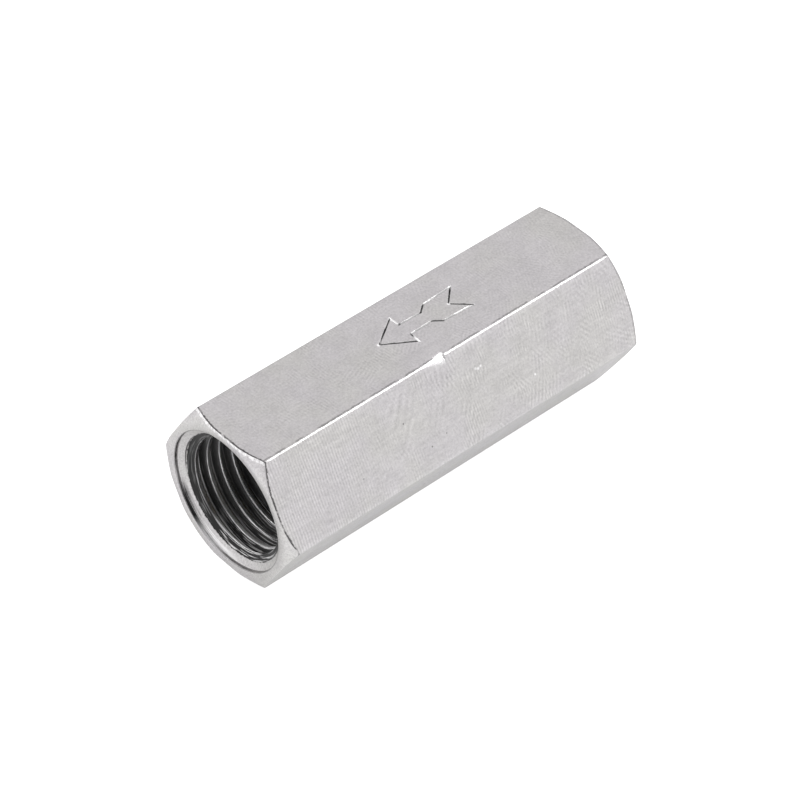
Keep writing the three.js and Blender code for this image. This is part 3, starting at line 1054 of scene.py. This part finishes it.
# matt marks on the flats and at the arrow's corners: place, size and shade
SPECKS = [
    ((5.5, 0.12, 8.45), 0.24, 0.97),
    ((-3.65, 0.15, 8.45), 0.24, 0.97),
    ((4.4, 1.75, 8.5), 0.14, 0.95),
    ((-0.07, 1.1, 8.45), 0.16, 0.06),
    ((-0.95, -1.54, 8.45), 0.16, 0.06),
    ((-6.7, -6.9, 5.05), 0.1, 0.05),
    ((-4.45, -8.7, 1.93), 0.12, 0.15),
    ((-12.9, -8.25, 2.7), 0.12, 0.3),
    ((-2.4, -8.5, 2.3), 0.09, 0.08),
    ((9.55, -8.3, 2.6), 0.16, 0.9),
    ((3.15, -6.4, 5.93), 0.2, 0.72),
    ((3.45, -6.45, 5.8), 0.22, 0.8),
    ((3.8, -6.4, 5.9), 0.18, 0.85),
    ((-20.2, -5.6, 7.2), 0.08, 0.1),
]


def add_specks(g, base, matt):
    """Adds the marks to the colour and to the matt share, and returns both."""
    for place, size, shade in SPECKS:
        speck = g.spread(g.distance(place), size, size * 0.3)
        base = g.blend(speck, base, grey(shade))
        matt = g.highest(matt, speck)
    return base, matt


def clean_plating(g, turned_face):
    """Sets the bump and returns the colour of the plating before its painted shade, painted highlights
    and marks are laid on: cutter marks on the flats, turning rings on the ends, and a grain that is
    rougher on the long corners, which breaks up the edge of their highlight."""
    grain = g.uneven(g.place, 4.5, 3.0, 0.75)
    mottle = g.uneven(g.place, 0.5, 5.0, 0.6)
    rings = g.uneven(g.join(g.radius, g.x, 0.0), 6.0, 2.0)
    marks = g.pick(turned_face, flat_marks(g), rings)
    on_corner = g.spread(g.radius, CORNER_REACH - 0.365, CORNER_REACH - 0.215, 1.0, 3.5)
    g.bump(g.plus(g.times(marks, 0.2), g.times(grain, on_corner), mottle), 0.010)

    mark_depth = g.spread(g.facing_y, 0.3, 0.7, 0.035, 0.06)
    grain_depth = g.pick(turned_face, 0.65, 1.0)
    tone = g.plus(
        g.times(marks, mark_depth),
        g.times(grain, grain_depth),
        g.times(mottle, 0.26),
        g.pick(turned_face, 1.0, 1.08),
    )
    purplish = (0.618, 0.606, 0.613, 1)
    yellowish = (0.614, 0.608, 0.596, 1)
    tint = g.blend(g.cloud(0.16, 2.0, 0.40, 0.60), purplish, yellowish)
    return g.vector("SCALE", tint, scale=tone)


def nickel_plate():
    """Satin plating over machined brass, with painted shade and painted highlights along ragged burrs
    where the chamfers meet the flats, a line of painted shade above one long corner, painted shade and
    highlights in the stamp and the mouth, and threads painted dark as shade with crests lighter from
    wear and a painted highlight."""
    g = Finish("nickel_plate")
    turned_face = g.spread(g.facing_x, 0.25, 0.4)
    base = clean_plating(g, turned_face)
    # painted shade and painted highlight where the chamfers meet the flats
    burr_painted_shade, burr_painted_highlight = burr_lines(g, turned_face)
    # painted shade above the long corner's highlight
    corner = g.times(corner_line(g), 0.55)
    base = g.paint(base, (burr_painted_shade, grey(0.06)), (burr_painted_highlight, grey(0.98)), (corner, grey(0.1)))
    groove, stamped, matt_groove = stamped_colour(g, base)
    base, matt = add_specks(g, g.blend(groove, base, stamped), matt_groove)
    scuff = nick_scuff(g)
    # the mouth's step: painted shade on one side, painted highlights below it
    streaked_painted_shade, wall_painted_highlight, cone_painted_highlight = mouth_step(g)
    in_thread = thread_share(g)
    thread, matt_thread = thread_colour(g, in_thread)
    base = g.paint(
        base,
        (scuff, grey(0.6)),
        # painted shade on the mouth's step
        (g.times(streaked_painted_shade, 0.9), grey(0.04)),
        # painted highlights on the mouth's step and cone
        (g.highest(wall_painted_highlight, cone_painted_highlight), grey(0.98)),
        # the thread's painted shade and painted highlights
        (in_thread, thread),
    )

    roughness = g.cloud(1.4, 4.0, 0.3, 0.7, 0.28, 0.38)
    for share, value in ((turned_face, 0.42), (groove, 0.45), (in_thread, 0.3)):
        roughness = g.pick(share, roughness, value)
    g.feed(g.shader.inputs["Specular Tint"], grey(0.75))
    matt = g.highest(matt, scuff, matt_thread, wall_painted_highlight)
    return g.surface(base, roughness, g.minus(1.0, matt))


def turned_metal(name, colour, worn, roughness):
    """Lathe-turned metal: fine rings, slight tarnish in patches."""
    g = Finish(name)
    rings = g.noise(g.join(g.radius, g.x, 0.0), 8.0, 2.0)
    grain = g.noise(g.place, 12.0, 2.0)
    base = g.blend(g.cloud(0.8, 4.0, 0.35, 0.7), colour, worn)
    rough = g.cloud(2.0, 3.0, 0.3, 0.7, roughness - 0.06, roughness + 0.08)
    g.bump(g.plus(rings, g.times(grain, 0.3)), 0.005)
    return g.surface(base, rough, 1.0)


def drawn_wire():
    """Cold-drawn spring steel: faint lines along the wire."""
    g = Finish("spring_steel")
    lines = g.noise(g.join(g.times(g.radius, 14.0), g.x, 0.0), 1.0, 3.0)
    patch = g.noise(g.place, 1.5, 3.0)
    base = g.blend(g.spread(patch, 0.35, 0.65), grey(0.40, 0.02), grey(0.5))
    g.bump(lines, 0.004)
    return g.surface(base, g.spread(patch, 0.3, 0.7, 0.22, 0.34), 1.0)


def black_rubber():
    """Moulded nitrile rubber: fine pitted skin, slightly dusty."""
    g = Finish("black_rubber")
    pits = g.noise(g.place, 14.0, 4.0, 0.7)
    dust = g.noise(g.place, 1.8, 5.0)
    base = g.blend(g.spread(dust, 0.45, 0.75), grey(0.018), grey(0.05))
    g.bump(pits, 0.012)
    return g.surface(base, g.spread(dust, 0.3, 0.7, 0.5, 0.68), 0.0)


def bearing_plastic():
    """Turned fluoropolymer: waxy off-white with faint tool lines."""
    g = Finish("bearing_plastic")
    lines = g.noise(g.join(g.radius, g.x, 0.0), 10.0, 2.0)
    cloud = g.noise(g.place, 1.2, 3.0)
    base = g.blend(cloud, (0.83, 0.81, 0.75, 1), (0.76, 0.73, 0.66, 1))
    g.bump(lines, 0.004)
    return g.surface(base, 0.42, 0.0)


def pale_floor():
    """Matt white table that glows a little, more so for the camera, so that shadows wash out."""
    g = Finish("pale_floor")
    cloud = g.noise(g.place, 0.01, 2.0)
    seen = g.node("LightPath").outputs["Is Camera Ray"]
    g.feed(g.shader.inputs["Emission Color"], (1, 1, 1, 1))
    g.feed(g.shader.inputs["Emission Strength"], g.pick(seen, 0.46, 0.8))
    return g.surface(g.blend(cloud, grey(0.54), grey(0.56)), 0.9, 0.0)


# ---- Put the pieces on their bodies ----


def dress(build, material, body):
    """Builds the piece that stands for the CAD node of the same name, and puts it on its body."""
    node = build.__name__
    made = build()
    made.data.materials.append(material)
    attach(made, body)
    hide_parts(node)
    return made


nickel = nickel_plate()
steel = turned_metal("turned_steel", grey(0.52), grey(0.6, 0.01), 0.26)
brass = turned_metal("bare_brass", (0.66, 0.46, 0.20, 1), (0.58, 0.39, 0.16, 1), 0.3)
wire = drawn_wire()
rubber = black_rubber()

dress(hex_body, nickel, "housing")
dress(seat_ring, steel, "housing")
dress(seat_o_ring, rubber, "housing")
dress(spring_guide, brass, "housing")
dress(guide_bush, bearing_plastic(), "housing")
dress(retaining_ring, wire, "housing")
spring = dress(closing_spring, wire, "housing")
dress(poppet, brass, "poppet_group")
dress(poppet_seal, rubber, "poppet_group")
dress(seal_washer, steel, "poppet_group")
dress(poppet_nut, steel, "poppet_group")

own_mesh(spring)

# ---- Floor, light and camera ----

CAMERA_AZIMUTH = math.radians(-43.46)
CAMERA_ELEVATION = math.radians(43.67)
CAMERA_ROLL = math.radians(1.92)
CAMERA_DISTANCE = 337.9
CAMERA_AIM = Vector((-0.7, 0.0, -0.52))
LENS = 154.5  # focal length for a sensor 36 wide
WALL_LIGHT = 0.865
DARK_SPREAD = 22  # degrees round the camera
DARK_SOFTNESS = 8


def camera_back():
    """Direction from the valve to the camera."""
    level = math.cos(CAMERA_ELEVATION)
    x = math.sin(CAMERA_AZIMUTH) * level
    y = -math.cos(CAMERA_AZIMUTH) * level
    return Vector((x, y, math.sin(CAMERA_ELEVATION)))


def floor():
    """A large square just below the bottom flat, in metres."""
    half = 2.0
    level = -(APOTHEM + 0.02) * MM
    data = bpy.data.meshes.new("floor")
    corners = [(-half, -half), (half, -half), (half, half), (-half, half)]
    data.from_pydata([(x, y, level) for x, y in corners], [], [(0, 1, 2, 3)])
    data.materials.append(pale_floor())
    put("floor", data)


def panel(name, direction, distance, size, power):
    """A soft rectangular light that faces the valve from a direction. Lengths are in metres."""
    data = bpy.data.lights.new(name, "AREA")
    data.shape = "RECTANGLE"
    data.size, data.size_y = size
    data.energy = power
    made = put(name, data)
    towards = Vector(direction).normalized()
    made.location = towards * distance
    made.rotation_mode = "QUATERNION"
    made.rotation_quaternion = towards.to_track_quat("Z", "Y")


def studio():
    """White studio walls with one dark round area behind the camera, which the stamp's grooves and
    the thread reflect, and two lights."""
    world = bpy.data.worlds.new("studio")
    bpy.context.scene.world = world
    world.use_nodes = True
    g = Nodes(world.node_tree)
    towards = g.vector("DOT_PRODUCT", g.node("TexCoord").outputs["Generated"], camera_back())
    outer_edge = math.cos(math.radians(DARK_SPREAD + DARK_SOFTNESS))
    inner_edge = math.cos(math.radians(DARK_SPREAD - DARK_SOFTNESS))
    walls = g.blend(g.spread(towards, outer_edge, inner_edge), (0.998, 0.98, 0.99, 1), grey(0.03))
    background = g.tree.nodes["Background"]
    g.feed(background.inputs["Color"], walls)
    g.feed(background.inputs["Strength"], WALL_LIGHT)
    panel("overhead", (0.5, -0.42, 0.76), 0.6, (0.34, 0.38), 1.9)
    panel("back_left", (-0.7, 0.55, 0.46), 0.7, (0.3, 0.3), 0.4)
    view = bpy.context.scene.view_settings
    view.view_transform = "Standard"
    view.look = "None"


def camera():
    data = bpy.data.cameras.new("camera")
    data.sensor_width = 36
    data.lens = LENS
    data.clip_start, data.clip_end = 0.01, 20
    made = put("camera", data)
    back = camera_back()
    made.rotation_mode = "QUATERNION"
    made.location = (CAMERA_AIM + back * CAMERA_DISTANCE) * MM
    turn = Matrix.Rotation(CAMERA_ROLL, 3, "Z").to_quaternion()
    made.rotation_quaternion = (-back).to_track_quat("-Z", "Y") @ turn
    bpy.context.scene.camera = made


floor()
studio()
camera()

bpy.context.view_layer.update()
